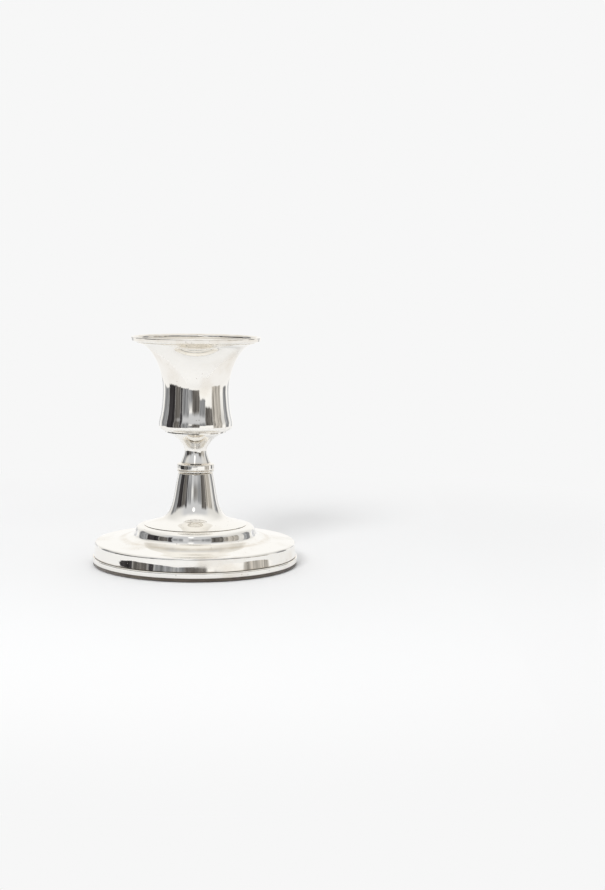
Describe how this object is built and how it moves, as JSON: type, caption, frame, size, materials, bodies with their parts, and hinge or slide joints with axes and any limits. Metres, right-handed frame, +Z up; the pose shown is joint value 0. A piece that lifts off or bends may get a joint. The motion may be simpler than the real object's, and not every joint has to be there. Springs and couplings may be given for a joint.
{
  "type": "candlestick",
  "caption": "Short turned candlestick: flared, waisted candle cup on a narrow neck, reeded collar and flared column, on a stepped round weighted base with a felt underside.",
  "frame": {"origin": "middle of the felt's underside, on the surface the candlestick stands on", "axes": "+Z up along the turning axis, towards the cup; +X and +Y are free because every outer piece is turned"},
  "size_m": [0.0812, 0.0812, 0.09],
  "materials": {
    "silver_plate": "polished silver plate on brass, with light wear and tarnish",
    "bare_brass": "satin as turned",
    "zinc_steel": "satin zinc plate",
    "cast_filling": "matte cast plaster",
    "grey_card": "matte",
    "dark_felt": "matte wool felt"
  },
  "bodies": {
    "root": {"felt_pad": "dark_felt", "base_card": "grey_card", "foot_wire": "silver_plate", "base_shell": "silver_plate", "base_weight": "cast_filling", "clamp_nut": "zinc_steel", "lock_washer": "zinc_steel", "clamp_washer": "zinc_steel", "tie_rod": "zinc_steel", "column_shell": "silver_plate", "column_plug": "bare_brass", "distance_tube": "bare_brass", "collar_ring": "silver_plate", "neck_spool": "silver_plate", "cup_shell": "silver_plate", "cup_boss": "bare_brass", "candle_liner": "silver_plate", "rim_wire": "silver_plate"}
  },
  "joints": []
}
